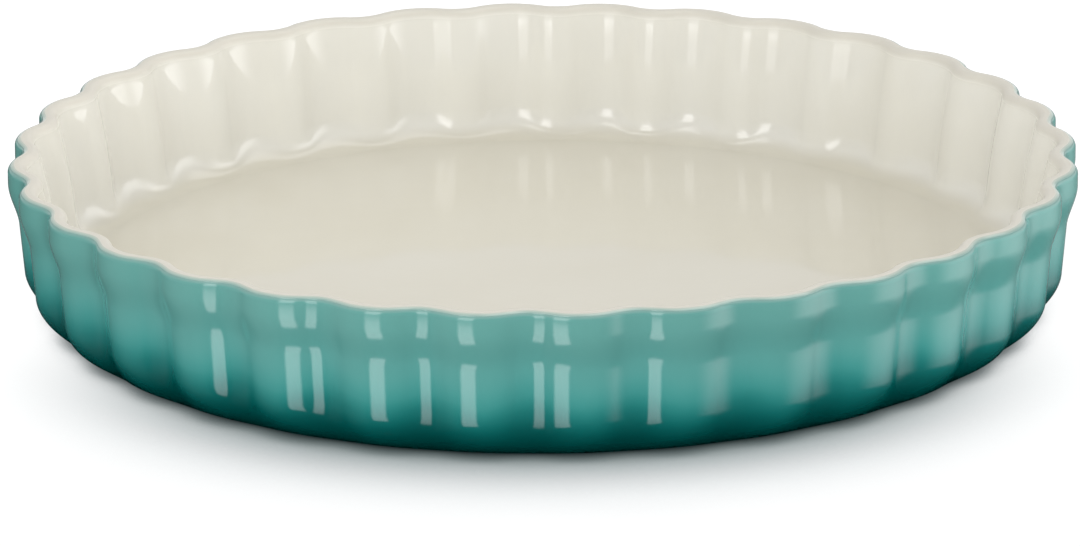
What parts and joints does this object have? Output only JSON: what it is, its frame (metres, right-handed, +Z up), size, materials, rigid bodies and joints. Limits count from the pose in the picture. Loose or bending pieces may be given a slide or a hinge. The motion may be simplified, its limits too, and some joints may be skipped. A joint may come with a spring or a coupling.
{
  "type": "fluted pie dish",
  "caption": "Round fluted stoneware pie dish with an upright scalloped wall, cream glaze inside and a graded teal glaze outside.",
  "frame": {"origin": "centre of the foot ring, on the surface that the dish stands on", "axes": "+Z up along the dish's axis of symmetry; a flute crest lies on +X"},
  "size_m": [0.28, 0.28, 0.0415],
  "materials": {
    "fired_clay": "bare fired stoneware, matte and finely speckled",
    "cream_glaze": "glossy cream glaze",
    "teal_glaze": "glossy glaze graded from pale teal at the rim to deep green at the foot",
    "clear_glaze": "thin clear glaze over clay"
  },
  "bodies": {
    "root": {"stoneware_body": "fired_clay", "interior_glaze": "cream_glaze", "exterior_glaze": "teal_glaze", "underside_glaze": "clear_glaze"}
  },
  "joints": []
}
